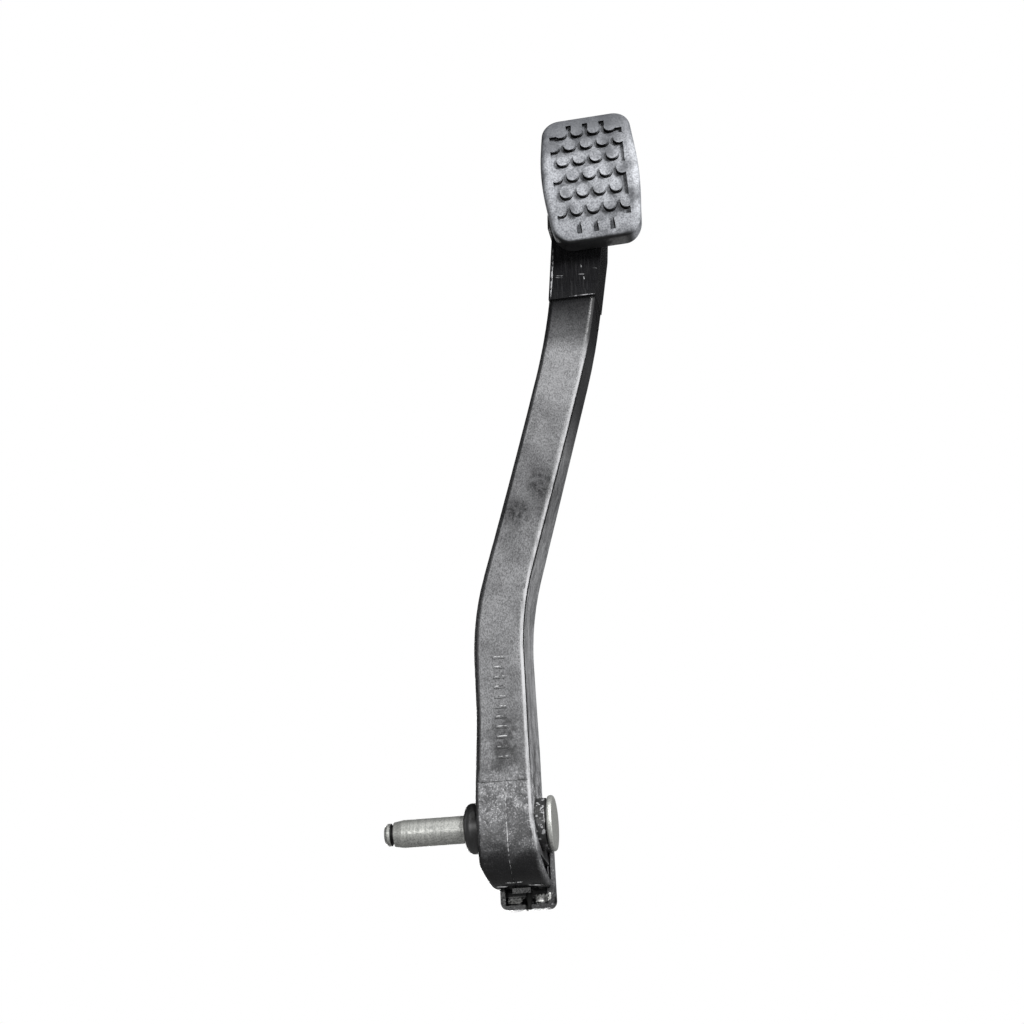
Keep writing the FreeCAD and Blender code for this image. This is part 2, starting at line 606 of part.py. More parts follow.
def crowned(name, margin, outer, inner):
    """Crowned shell with the barrel outline between two radii about the crown axis."""
    full = rod(name + "_outer", "x", outer, "-pad_half * 2", "pad_half * 2", "crown", "0")
    void = rod(name + "_inner", "x", inner, "-pad_half * 3", "pad_half * 3", "crown", "0")
    front = box(name + "_half", "-pad_half * 2", "pad_half * 2", "-crown", "crown / 2", "-crown", "crown")
    return less(name, shared(name + "_full", [barrel(name + "_barrel", margin), full, front]), void)


def tread_cut():
    """Sunk field of the tread around the dots; edge dots run into the rim."""
    dots = []
    tall = "2 * face_thick"
    for row in range(-3, 4):
        height = f"crown * sin({row} * row_pitch / crown * 180 / pi)"
        count = 4 if row % 2 else 5
        for i in range(count):
            across = f"({i - (count - 1) / 2}) * dot_pitch"
            dots.append(rod(f"dot_{row + 3}_{i}", "y", "dot_dia / 2", "-face_thick", tall, across, height))
            if abs(row) == 3:
                ends = (height, "2 * recess_reach") if row > 0 else ("-2 * recess_reach", height)
                dots.append(box(f"lobe_{row + 3}_{i}", f"{across} - lobe_neck / 2", f"{across} + lobe_neck / 2",
                                "-face_thick", tall, *ends))
        if abs(row) == 3:
            inner = f"{height} - field_corner" if row > 0 else f"{height} + field_corner"
            ends = (inner, "2 * recess_reach") if row > 0 else ("-2 * recess_reach", inner)
            outer = f"{(count - 1) / 2} * dot_pitch"
            dots.append(box(f"corner_{row + 3}_a", "-2 * recess_half", f"-{outer}", "-face_thick", tall, *ends))
            dots.append(box(f"corner_{row + 3}_b", outer, "2 * recess_half", "-face_thick", tall, *ends))
    field = box("tread_field", "-recess_half", "recess_half", "-face_thick", tall, "-recess_reach",
                "recess_reach")
    floor = rod("tread_floor", "x", "pad_floor", "-pad_half * 2", "pad_half * 2", "crown", "0")
    return less("tread_cut", field, joined("tread_solid", [floor] + dots))


def rim_edges(shape):
    """Edges all round the front of the tread blank."""
    picks = []
    axis = number("crown")
    for index, edge in enumerate(shape.Edges, 1):
        ends = [vertex.Point for vertex in edge.Vertexes]
        if all(abs((end.y - axis) ** 2 + end.z ** 2 - axis ** 2) < 0.1 for end in ends):
            picks.append(f"Edge{index}")
    return picks


def make_pad():
    """Rubber tread cover: crowned face with dots, rim round the plate and a lip behind it."""
    rough = crowned("tread_rough", "0 * wall", "crown", "pad_back")
    doc.recompute()
    body = doc.addObject("PartDesign::Body", "tread_blank")
    body.BaseFeature = rough
    doc.recompute()
    round_edges(body, "tread_rim", "pad_edge", rim_edges(body.Shape))
    cavity = crowned("cavity", "(rim_wide - face_gap)", "cavity_out", "cavity_in")
    opening = crowned("lip_opening", "(rim_wide + lip_wide)", "cavity_out", "pad_back - crown / 4")
    pad = less("pedal_pad", body, joined("pad_cuts", [cavity, opening, tread_cut()]))
    put_on_tread(pad)
    return pad


def make_arm():
    """One-piece moulding: pad plate, neck, channelled arm, hub, skirt and cable claw."""
    blank = arm_blank()
    boss = rod("hub_boss", "x", "boss_dia / 2", "hub_left", "hub_right", "0", "0")
    shell = less("arm_shell", blank, joined("arm_rooms", [arm_channel(), lever_pocket()] + claw_cuts()))
    tab = box("seat_tab", "slot_mid + tab_shift - tab_wide", "slot_mid + tab_shift",
              "claw_front - seat_rad - tab_thick", "claw_front - seat_rad", "-skirt_low - tab_long",
              "-skirt_low + skirt_wall")
    ticks = []
    for i in range(int(number("tick_count"))):
        low = f"tick_first + {i} * tick_pitch"
        ticks.append(box(f"tick_{i}", "arm_mid - tick_wide / 2", "arm_mid + tick_wide / 2",
                         "-front_deep - tick_raise", "-front_deep + wall / 2", low, f"{low} + tick_thick"))
    plate = crowned("pad_plate", "rim_wide", "plate_out", "plate_in")
    doc.recompute()
    put_on_tread(plate)
    grown = [shell, boss, cross_ribs(blank), tab, neck_block(), plate]
    solid = joined("arm_solid", grown + ticks + rear_flange())
    bore = rod("hub_hole", "x", "hub_bore", "-hub_wide", "3 * hub_wide", "0", "0")
    spot = rod("spot_face", "x", "flange_rad + spot_margin", "hub_right", "2 * hub_right", "0", "0")
    return less("pedal_arm", solid, joined("arm_cuts", [bore, spot, witness_lines(blank)]))


def write_parts(parts):
    """Stop on any broken object, then write one file per part."""
    doc.recompute()
    for item in doc.Objects:
        if "Invalid" in item.State or "Error" in item.State:
            raise RuntimeError(f"{item.Name}: {item.State}")
    os.makedirs(PARTS_DIR, exist_ok=True)
    for part in parts:
        shape = part.Shape
        if shape.isNull() or not shape.isValid():
            raise RuntimeError(f"{part.Name}: shape is not valid")
        print(part.Label, "solids", len(shape.Solids), "volume", round(shape.Volume), shape.BoundBox)
        shape.exportStep(f"{PARTS_DIR}/{part.Label}.step")


fill_sheet()
pivot_pin = make_pin()
left_bush = make_bush("left_bush", "hub_left", "-1", "left_collar", "left_round")
right_bush = make_bush("right_bush", "hub_right", "1", "right_collar", "right_round")
pedal_pad = make_pad()
pedal_arm = make_arm()
write_parts([pedal_arm, pedal_pad, pivot_pin, left_bush, right_bush])
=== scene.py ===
"""Looks of a cable clutch pedal: moulded arm, rubber tread, plated pivot pin and two bushes.

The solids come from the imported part.  Lengths are in metres, unless said otherwise, in the part's
own frame: the origin lies on the pivot axis at the pin's shoulder, X runs to the pin head, Y away
from the foot and Z up to the tread.
"""
import logging
import math
from dataclasses import dataclass
from enum import Enum

import bpy
import numpy as np
from mathutils import Matrix, Vector
from mathutils.bvhtree import BVHTree


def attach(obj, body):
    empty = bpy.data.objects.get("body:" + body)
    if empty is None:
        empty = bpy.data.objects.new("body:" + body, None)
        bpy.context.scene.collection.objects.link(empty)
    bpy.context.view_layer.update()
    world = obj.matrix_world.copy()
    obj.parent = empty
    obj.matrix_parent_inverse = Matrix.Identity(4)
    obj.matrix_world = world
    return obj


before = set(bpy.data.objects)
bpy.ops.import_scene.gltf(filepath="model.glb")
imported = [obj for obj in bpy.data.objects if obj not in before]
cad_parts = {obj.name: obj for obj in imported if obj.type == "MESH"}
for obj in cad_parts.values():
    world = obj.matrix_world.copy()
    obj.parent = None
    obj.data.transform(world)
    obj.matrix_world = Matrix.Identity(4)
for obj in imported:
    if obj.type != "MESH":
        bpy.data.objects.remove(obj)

LOG = logging.getLogger("clutch_pedal")
MM = 0.001

Colour = tuple[float, float, float]
Point = tuple[float, float, float]
Span = tuple[float, float]
Spot = tuple[float, float, float, float]
Pairs = tuple[tuple[float, float], ...]

HEADWARD: Point = (1.0, 0.0, 0.0)
SPIGOTWARD: Point = (-1.0, 0.0, 0.0)
REARWARD: Point = (0.0, 1.0, 0.0)
FOOTWARD: Point = (0.0, -1.0, 0.0)

RING_POINTS = 14
SMALL_END = 0.12

# X and Z of both ends of each tick on the neck, in millimetres
NECK_TICKS = (
    (56.8, 247.9, 60.6, 247.4), (57.0, 247.0, 60.2, 246.5), (67.7, 247.4, 70.5, 247.0),
    (70.1, 245.9, 70.3, 244.3), (74.7, 249.6, 76.5, 249.3), (69.0, 252.6, 69.4, 250.6))

# Name, X and Z of both ends, half width and half height of each pale edge line, in millimetres;
# the neck and skirt lines are painted highlights, the hub line is a seam
PALE_EDGES = (
    ("neck_edge", (54.15, 237.2, 56.75, 262.0), 0.45, 0.16),
    ("neck_step", (63.0, 236.6, 74.6, 236.6), 0.24, 0.16),
    ("hub_seam", (20.4, 16.6, 20.4, -23.4), 0.20, 0.33),
    ("skirt_rim.0", (12.2, -25.35, 17.0, -25.45), 0.30, 0.20),
    ("skirt_rim.1", (16.6, -24.30, 24.0, -24.30), 0.30, 0.20),
    ("skirt_rim.2", (26.0, -25.40, 32.4, -25.60), 0.30, 0.20))

# X of both ends, level and swing in millimetres, waves and phase of each bead of grease
GREASE_BEADS = (
    (26.6, 34.6, -29.2, 0.9, 5.0, 0.4), (27.2, 34.0, -30.8, 0.7, 6.3, 1.9),
    (14.4, 21.6, -30.0, 0.6, 4.2, 0.9), (15.2, 20.8, -31.1, 0.4, 5.1, 2.6))


class Body(Enum):
    """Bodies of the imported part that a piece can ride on."""

    PIN = "pin"
    PEDAL = "pedal"


class Slot(Enum):
    """Material slots of the record."""

    ARM = "arm_plastic"
    PAD = "pad_rubber"
    PIN = "pin_steel"
    BUSH = "bush_plastic"


class Facing(Enum):
    """Attributes that tell how far a surface faces one way.

    Each holds a name, a direction and the cosines where the share starts and is full.
    """

    # Painted light: the first of these marks the right front bevel for a painted highlight; the
    # left bevel, the upper head side and faces turned down take painted shade.
    RUB = ("rub", (0.707, -0.707, 0.0), 0.89, 0.98)
    SHADE = ("shade", (-0.707, -0.707, 0.0), 0.84, 0.97)
    FLANK = ("flank", (1.0, 0.0, 0.0), 0.75, 0.92)
    FRONT = ("front", (0.0, -1.0, 0.0), 0.55, 0.90)
    UNDER = ("under", (-0.25, 0.0, -0.968), 0.60, 0.86)


class Value:
    """A node output that takes part in arithmetic; each operation adds one Math node."""

    def __init__(self, finish: "Finish", socket: bpy.types.NodeSocket) -> None:
        """Wrap one output socket of a finish.

        Args:
            finish: The finish whose node tree holds the socket.
            socket: The output socket.
        """
        self.finish = finish
        self.socket = socket

    def math(self, operation: str, *operands: "Value | float") -> "Value":
        """Add one Math node.

        Args:
            operation: Name of the Math node's operation.
            operands: Its inputs in order.

        Returns:
            The result.
        """
        inputs = dict(enumerate(operands))
        return self.finish.node("ShaderNodeMath", {"operation": operation}, inputs)

    def __add__(self, other: "Value | float") -> "Value":
        """Sum."""
        return self.math("ADD", self, other)

    def __radd__(self, other: float) -> "Value":
        """Sum with a number on the left."""
        return self.math("ADD", other, self)

    def __sub__(self, other: "Value | float") -> "Value":
        """Difference."""
        return self.math("SUBTRACT", self, other)

    def __rsub__(self, other: float) -> "Value":
        """Difference from a number on the left."""
        return self.math("SUBTRACT", other, self)

    def __mul__(self, other: "Value | float") -> "Value":
        """Product."""
        return self.math("MULTIPLY", self, other)

    def __rmul__(self, other: float) -> "Value":
        """Product with a number on the left."""
        return self.math("MULTIPLY", other, self)

    def __truediv__(self, other: "Value | float") -> "Value":
        """Quotient."""
        return self.math("DIVIDE", self, other)

    def most(self, other: "Value | float") -> "Value":
        """Larger of two values."""
        return self.math("MAXIMUM", self, other)


class Finish:
    """Node tree of one material with a single Principled shader, and the patterns that feed it."""

    def __init__(self, name: str, **constants: float) -> None:
        """Start a material.

        Args:
            name: Name of the material.
            constants: Shader inputs that are the same all over, spaces written as underscores.
        """
        self.material = bpy.data.materials.new(name)
        self.material.use_nodes = True
        self.tree = self.material.node_tree
        self.tree.nodes.clear()
        self.shader = self.tree.nodes.new("ShaderNodeBsdfPrincipled")
        output = self.tree.nodes.new("ShaderNodeOutputMaterial")
        self.tree.links.new(self.shader.outputs[0], output.inputs[0])
        for key, number in constants.items():
            self.shader.inputs[key.replace("_", " ")].default_value = number
        self.place = self.node("ShaderNodeTexCoord", {}, {}, "Object")

    def node(self, kind: str, settings: dict, inputs: dict, output: str | int = 0) -> Value:
        """Add any node.

        Args:
            kind: Type of the node.
            settings: Attributes that are set first; "stops" fills a colour ramp with pairs of a
                place and a colour.
            inputs: Socket number, name or identifier to the value or link it takes.
            output: Number or identifier of the output that is returned.

        Returns:
            The chosen output.
        """
        made = self.tree.nodes.new(kind)
        for key, setting in settings.items():
            if key == "stops":
                first, *between, last = setting
                for element, (place, colour) in zip(made.color_ramp.elements, (first, last)):
                    element.position = place
                    element.color = (*colour, 1.0)
                for place, colour in between:
                    made.color_ramp.elements.new(place).color = (*colour, 1.0)
            else:
                setattr(made, key, setting)
        for key, fed in inputs.items():
            socket = self.find(made.inputs, key)
            if isinstance(fed, Value):
                self.tree.links.new(fed.socket, socket)
            elif socket.type == "RGBA":
                socket.default_value = (*fed, 1.0)
            else:
                socket.default_value = fed
        return Value(self, self.find(made.outputs, output))

    @staticmethod
    def find(sockets: bpy.types.bpy_prop_collection, key: str | int) -> bpy.types.NodeSocket:
        """Socket by number, identifier or name.

        Args:
            sockets: Inputs or outputs of a node.
            key: Number, identifier or name.

        Returns:
            The socket.
        """
        if isinstance(key, int):
            return sockets[key]
        return next((s for s in sockets if s.identifier == key), None) or sockets[key]

    def feed(self, name: str, value: Value) -> None:
        """Link a value to an input of the shader."""
        self.tree.links.new(value.socket, self.shader.inputs[name])

    def axis(self, letter: str) -> Value:
        """Object coordinate along X, Y or Z."""
        return self.node("ShaderNodeSeparateXYZ", {}, {0: self.place}, letter)

    def noise(self, pitch: float, detail: float, rough: float,
              stretch: Point = (1.0, 1.0, 1.0)) -> Value:
        """Soft noise on object coordinates.

        Args:
            pitch: Size of a blotch.
            detail: Octaves.
            rough: Weight of the finer octaves.
            stretch: How much longer a blotch is along each axis.

        Returns:
            Value around one half.
        """
        scale = tuple(1.0 / s for s in stretch)
        where = self.node("ShaderNodeMapping", {}, {"Vector": self.place, "Scale": scale})
        inputs = {"Vector": where, "Scale": 1.0 / pitch, "Detail": detail, "Roughness": rough}
        return self.node("ShaderNodeTexNoise", {}, inputs)

    def step(self, value: Value, low: float, high: float) -> Value:
        """Smooth rise from 0 at low to 1 at high; the other way round where low is the larger."""
        return self.node("ShaderNodeMapRange", {"interpolation_type": "SMOOTHSTEP"},
                         {"Value": value, "From Min": low, "From Max": high})

    def mix(self, share: Value | float, first: Value | Colour, second: Value | Colour) -> Value:
        """Colour between two colours; share 0 gives the first."""
        inputs = {"Factor_Float": share, "A_Color": first, "B_Color": second}
        return self.node("ShaderNodeMix", {"data_type": "RGBA"}, inputs, "Result_Color")

    def spot(self, x: float, z: float, wide: float, tall: float) -> Value:
        """Soft elliptical spot seen along Y.

        Args:
            x: Middle along X.
            z: Middle along Z.
            wide: Half width.
            tall: Half height.

        Returns:
            1 in the middle, falling to 0 at the rim.
        """
        across = (self.axis("X") - x) / wide
        along = (self.axis("Z") - z) / tall
        return self.step(across * across + along * along, 1.0, 0.0)

    def facing(self, way: Facing) -> Value:
        """Share noted on the mesh for one way of facing."""
        return self.node("ShaderNodeAttribute", {"attribute_name": way.value[0]}, {}, "Fac")

    def bump(self, height: Value, depth: float, strength: float) -> None:
        """Feed the shader's normal from a height.

        Args:
            height: Height between 0 and 1.
            depth: Real depth of a height of 1.
            strength: Weight of the bump.
        """
        inputs = {"Height": height, "Distance": depth, "Strength": strength}
        self.feed("Normal", self.node("ShaderNodeBump", {}, inputs))


@dataclass(frozen=True)
class FilledNylon:
    """Black glass-filled nylon: a grey bloom of surfaced fibres, flecks and rubbed patches.

    The bloom changes along the arm by height and is cut by painted shade: the pad's shadow at the
    top, the skirt where it curves under, the left bevel and a band along the left edge, and the
    upper head side.  The right front bevel carries a painted highlight and the cable pocket painted
    light.  A spot gives X, Z, half width and half height; a span gives the heights where a share
    starts and where it is full.  The pairs of bloom_and_shade and left give a height in millimetres
    with the bloom and the wall's X there.
    """

    skin: Colour = (0.0030, 0.0030, 0.0034)
    bloom: Colour = (0.140, 0.141, 0.145)
    fleck: Colour = (0.40, 0.40, 0.41)
    grease: Colour = (0.22, 0.22, 0.225)
    # Pale tone of the painted highlight on the right front bevel; on the bushes and neck pieces it
    # stands for rubbed wear.
    wear_and_highlight: Colour = (0.20, 0.20, 0.205)
    grain: float = 0.5 * MM
    fibre: Point = (0.9, 0.9, 1.5)
    cloud: float = 16.0 * MM
    wear: float = 2.6 * MM
    band: float = 2.2 * MM
    patch: float = 6.5 * MM
    speck: float = 0.7 * MM
    smear: float = 1.9 * MM
    band_stretch: Point = (1.0, 1.0, 18.0)
    streak_stretch: Point = (1.0, 1.0, 16.0)
    highlight_stretch: Point = (1.0, 1.0, 4.0)
    smear_stretch: Point = (1.5, 1.0, 0.7)
    reach: Span = (-40.0 * MM, 260.0 * MM)
    left: Pairs = ()
    across: Span = (-20.0, 80.0)
    edge_wide: float = 2.6 * MM
    edge_start: Span = (16.0 * MM, 24.0 * MM)
    worn_spots: tuple[Spot, Spot, Spot] = (
        (43.7 * MM, 150.0 * MM, 8.0 * MM, 10.0 * MM), (32.0 * MM, 137.5 * MM, 8.0 * MM, 8.0 * MM),
        (22.0 * MM, 34.0 * MM, 8.0 * MM, 17.0 * MM))
    # Painted light: the cable pocket, where light reaches it, keeps its bloom through the painted
    # shade of the skirt.
    lit_pocket: Spot = (38.5 * MM, -17.0 * MM, 7.5 * MM, 14.0 * MM)
    hub_patches: Span = (62.0 * MM, 12.0 * MM)
    hub_flecks: Span = (30.0 * MM, 8.0 * MM)
    # Heights where the painted shade on the upper head side starts and is full.
    flank_shade: Span = (150.0 * MM, 192.0 * MM)
    flank_bands: Span = (185.0 * MM, 150.0 * MM)
    bevel_foot: Span = (-16.0 * MM, -4.0 * MM)
    bevel_top: Span = (218.0 * MM, 204.0 * MM)
    # Heights of the painted shade on the right bevel's top end, in the pad's shadow.
    bevel_shade_span: Span = (204.0 * MM, 220.0 * MM)
    neck_bare: Span = (232.0 * MM, 238.0 * MM)
    seat_smear: Span = (-26.5 * MM, -29.0 * MM)
    # Bloom share by height: the fall at the top is the pad's shadow, painted; the fall towards the
    # skirt's lower edge is painted shade where it curves under.
    bloom_and_shade: Pairs = (
        (-24.0, 0.0), (-15.0, 0.10), (-8.0, 0.44), (4.0, 0.72), (30.0, 0.80), (60.0, 0.84),
        (98.0, 0.80), (118.0, 0.78), (138.0, 0.50), (152.0, 0.54), (172.0, 0.74), (192.0, 0.95),
        (210.0, 1.00), (219.0, 0.34), (230.0, 0.12), (236.0, 0.01))

    def along(self, made: Finish, pairs: Pairs) -> Value:
        """Number read by height along the arm.

        Args:
            made: The finish in the making.
            pairs: Height in millimetres and the number there, between 0 and 1.

        Returns:
            The number at the shaded point's height.
        """
        low, high = self.reach
        stops = tuple(((z * MM - low) / (high - low), (share,) * 3) for z, share in pairs)
        place = (made.axis("Z") - low) / (high - low)
        return made.node("ShaderNodeValToRGB", {"stops": stops}, {"Fac": place})

    def painted_left_shade(self, made: Finish) -> Value:
        """Painted shade: a band along the left edge of the arm's foot side where the bloom is cut
        back.

        Args:
            made: The finish in the making.

        Returns:
            1 in the band and 0 inside it.
        """
        low, high = self.across
        pairs = tuple((z, (x - low) / (high - low)) for z, x in self.left)
        wall = self.along(made, pairs)
        inside = made.axis("X") - MM * (low + (high - low) * wall)
        band = made.step(inside, self.edge_wide, 0.8 * self.edge_wide)
        start = made.step(made.axis("Z"), *self.edge_start)
        return band * made.facing(Facing.FRONT) * start

    def spread(self, made: Finish, height: Value, cloud: Value, top_bevel_shade: Value) -> Value:
        """Share of bloom by height, wear, facing and place on the arm, with painted shade and
        light.

        Args:
            made: The finish in the making.
            height: Height of the shaded point.
            cloud: Broad noise.
            top_bevel_shade: Share of the painted shade on the bevel's top end.

        Returns:
            0 on bare skin, about 1 where the bloom is full.
        """
        first, second, third = (made.spot(*spot) for spot in self.worn_spots)
        worn = first.most(second).most(third)
        worn = worn * (0.25 + 0.95 * made.step(made.noise(self.wear, 4.0, 0.65), 0.38, 0.62))
        bloom = self.along(made, self.bloom_and_shade) * (0.62 + 0.5 * made.step(cloud, 0.25, 0.68))
        bloom = bloom * (1.0 - 0.62 * worn) * (1.0 - 0.85 * made.facing(Facing.SHADE))
        # Painted shade: a band along the left edge, widening the shaded left bevel.
        bloom = bloom * (1.0 - 0.68 * self.painted_left_shade(made))
        flank = made.facing(Facing.FLANK)
        # Painted shade: the upper part of the head side is darkened.
        bloom = bloom * (1.0 - 0.88 * flank * made.step(height, *self.flank_shade))
        bands = made.step(made.noise(self.band, 3.0, 0.6, self.band_stretch), 0.38, 0.62)
        banded = flank * made.step(height, *self.flank_bands)
        bloom = bloom * (1.0 - banded * (0.14 - 0.58 * bands))
        patch = made.step(made.noise(self.patch, 3.0, 0.6), 0.40, 0.60)
        near_hub = made.step(height, *self.hub_patches)
        bloom = bloom * (1.0 - near_hub * (0.55 - 0.75 * patch))
        # Painted shade: the bevel's top end, in the pad's shadow, loses its bloom.
        bloom = bloom * (1.0 - 0.9 * top_bevel_shade)
        # Painted light in the cable pocket.
        return bloom.most(0.55 * made.spot(*self.lit_pocket))

    def material(self) -> bpy.types.Material:
        """Mix skin, bloom, flecks and grease by noise and by place on the arm, with painted shade
        and a painted highlight on the right front bevel.

        Returns:
            The material.
        """
        made = Finish("filled_nylon", IOR=1.53, Specular_IOR_Level=0.20)
        height = made.axis("Z")
        grain = made.noise(self.grain, 3.0, 0.68, self.fibre)
        cloud = made.noise(self.cloud, 4.0, 0.6)
        bevel = made.facing(Facing.RUB)
        # Painted shade on the top end of the right bevel; it is also made rougher there.
        top_bevel_shade = bevel * made.step(height, *self.bevel_shade_span)
        bloom = self.spread(made, height, cloud, top_bevel_shade)
        speckle = made.step(grain, 0.30, 0.68)
        colour = made.mix(bloom * (0.35 + 0.85 * speckle), self.skin, self.bloom)
        streak = made.step(made.noise(self.speck, 2.0, 0.6, self.streak_stretch), 0.50, 0.68)
        bared = 0.05 * made.step(height, *self.neck_bare)
        colour = made.mix(streak * bared, colour, self.bloom)
        fleck = made.step(made.noise(self.speck, 2.0, 0.6), 0.54, 0.68) * bloom
        fleck = fleck * (0.12 + 0.60 * made.step(height, *self.hub_flecks))
        colour = made.mix(fleck, colour, self.fleck)
        # Painted highlight: the right front bevel is painted pale, broken by noise, fading at its
        # foot and top.
        rub = bevel * made.step(height, *self.bevel_foot) * made.step(height, *self.bevel_top)
        broken = made.noise(self.band, 3.0, 0.6, self.highlight_stretch)
        rub = rub * (0.25 + 0.75 * made.step(broken, 0.30, 0.60))
        colour = made.mix(rub, colour, self.wear_and_highlight)
        smear = made.step(made.noise(self.smear, 2.0, 0.55, self.smear_stretch), 0.56, 0.62)
        smear = smear * made.step(height, *self.seat_smear)
        rough = 0.23 + 0.28 * bloom + 0.06 * speckle - 0.12 * smear + 0.45 * top_bevel_shade
        made.feed("Base Color", made.mix(smear * 0.4, colour, self.grease))
        made.feed("Roughness", rough)
        made.bump(grain * 0.7 + cloud * 0.5 + smear * 1.6, 0.10 * MM, 0.5)
        return made.material


@dataclass(frozen=True)
class BrokenGrey:
    """Broken grey by noise for rubbed flash and seams and for painted highlights on edges; nearly
    black for dark lines and for painted shadow.
    """

    name: str = "rubbed_and_highlight_nylon"
    dark: Colour = (0.012, 0.012, 0.013)
    pale: Colour = (0.15, 0.15, 0.155)
    patch: float = 1.6 * MM
    shine: float = 0.4

    def material(self) -> bpy.types.Material:
        """Broken grey by noise.

        Returns:
            The material.
        """
        made = Finish(self.name, IOR=1.53, Specular_IOR_Level=self.shine)
        patch = made.noise(self.patch, 3.0, 0.6)
        share = made.step(patch, 0.36, 0.60)
        made.feed("Base Color", made.mix(share, self.dark, self.pale))
        made.feed("Roughness", 0.30 + 0.20 * share)
        made.bump(patch, 0.06 * MM, 0.5)
        return made.material


@dataclass(frozen=True)
class TreadRubber:
    """Blue-grey rubber with a fine grain and a dull bloom; painted shade thins the bloom towards
    the top and paints faces turned down nearly black.
    """

    deep: Colour = (0.024, 0.0255, 0.029)
    dusty: Colour = (0.216, 0.222, 0.236)
    painted_shade: Colour = (0.002, 0.002, 0.0022)
    grain: float = 0.75 * MM
    cloud: float = 9.0 * MM
    top_shade: Span = (318.0 * MM, 282.0 * MM)

    def material(self) -> bpy.types.Material:
        """Grain and bloom by noise, with painted shade by height and on faces turned down.

        Returns:
            The material.
        """
        made = Finish("tread_rubber", IOR=1.5, Specular_IOR_Level=0.24)
        grain = made.noise(self.grain, 3.0, 0.66)
        cloud = made.noise(self.cloud, 3.0, 0.55)
        # Painted shade: the bloom thins towards the top of the tread and on faces turned down.
        low = made.step(made.axis("Z"), *self.top_shade)
        under = made.facing(Facing.UNDER)
        dust_and_shade = (0.14 + 0.86 * low) * made.step(cloud, 0.18, 0.66) * (1.0 - 0.95 * under)
        dust_and_shade = dust_and_shade * (0.35 + 0.9 * made.step(grain, 0.30, 0.68))
        # Painted shade: faces turned down take a near-black ground.
        ground = made.mix(under, self.deep, self.painted_shade)
        made.feed("Base Color", made.mix(dust_and_shade, ground, self.dusty))
        made.feed("Roughness", 0.50 + 0.20 * made.step(grain, 0.32, 0.62))
        made.bump(grain, 0.16 * MM, 0.6)
        return made.material


@dataclass(frozen=True)
class PlatedSteel:
    """Dull zinc plate on turned steel: fine crystals, faint turning bands and painted shade in the
    clip groove.
    """

    plate: Colour = (0.50, 0.505, 0.48)
    shade: Colour = (0.20, 0.203, 0.195)
    painted_shade: Colour = (0.012, 0.012, 0.012)
    crystal: float = 0.8 * MM
    turning: float = 1.6 * MM
    around: Point = (1.0, 40.0, 40.0)
    groove_left: Span = (-33.3 * MM, -32.9 * MM)
    groove_right: Span = (-31.2 * MM, -31.6 * MM)

    def material(self) -> bpy.types.Material:
        """Crystals and turning bands.

        Returns:
            The material.
        """
        made = Finish("plated_steel", Metallic=0.86)
        crystal = made.noise(self.crystal, 3.0, 0.7)
        bands = made.noise(self.turning, 3.0, 0.6, self.around)
        worn = made.step(crystal, 0.30, 0.68) * (0.55 + 0.45 * made.step(bands, 0.3, 0.65))
        along = made.axis("X")
        # Painted shade: the clip groove is painted nearly black.
        groove = made.step(along, *self.groove_left) * made.step(along, *self.groove_right)
        colour = made.mix(worn, self.shade, self.plate)
        made.feed("Base Color", made.mix(groove, colour, self.painted_shade))
        made.feed("Roughness", 0.43 + 0.14 * made.step(crystal, 0.65, 0.35))
        made.bump(crystal * 0.7 + bands * 0.5, 0.05 * MM, 0.5)
        return made.material


@dataclass(frozen=True)
class BushNylon:
    """Black bearing plastic, satin, with a smear of grease where it runs against the pin head."""

    skin: Colour = (0.006, 0.006, 0.006)
    wear_and_highlight: Colour = (0.022, 0.022, 0.023)
    grease: Colour = (0.36, 0.36, 0.37)
    grain: float = 0.8 * MM
    turning: float = 1.3 * MM
    around: Point = (1.0, 30.0, 30.0)
    smear: float = 1.9 * MM
    greased: Span = (31.0 * MM, 32.5 * MM)

    def material(self) -> bpy.types.Material:
        """Rubbed bands and grease.

        Returns:
            The material.
        """
        made = Finish("bush_nylon", IOR=1.52)
        grain = made.noise(self.grain, 3.0, 0.6)
        bands = made.noise(self.turning, 2.0, 0.5, self.around)
        smear = made.step(made.noise(self.smear, 2.0, 0.6), 0.57, 0.63)
        smear = smear * made.step(made.axis("X"), *self.greased)
        worn = made.step(grain, 0.35, 0.7) * made.step(bands, 0.3, 0.7)
        colour = made.mix(worn, self.skin, self.wear_and_highlight)
        made.feed("Base Color", made.mix(smear * 0.5, colour, self.grease))
        made.feed("Roughness", 0.32 + 0.15 * grain - 0.22 * smear)
        made.bump(grain * 0.6 + bands * 0.4 + smear * 2.0, 0.07 * MM, 0.5)
        return made.material


@dataclass(frozen=True)
class GreaseAndShade:
    """Pale stiff grease, cloudy and wet; made black and matte, it is the painted shade that fills
    the cable slot.
    """

    name: str = "grease"
    clear: Colour = (0.16, 0.16, 0.155)
    milky: Colour = (0.38, 0.38, 0.37)
    coat: float = 0.6
    rough: float = 0.14
    cloud: float = 1.1 * MM

    def material(self) -> bpy.types.Material:
        """Cloudy mix of a clear and a milky tone.

        Returns:
            The material.
        """
        made = Finish(self.name, IOR=1.47, Coat_Weight=self.coat, Coat_Roughness=0.06)
        cloud = made.noise(self.cloud, 3.0, 0.6)
        made.feed("Base Color", made.mix(made.step(cloud, 0.35, 0.65), self.clear, self.milky))
        made.feed("Roughness", self.rough + 0.16 * cloud)
        made.bump(cloud, 0.10 * MM, 0.5)
        return made.material


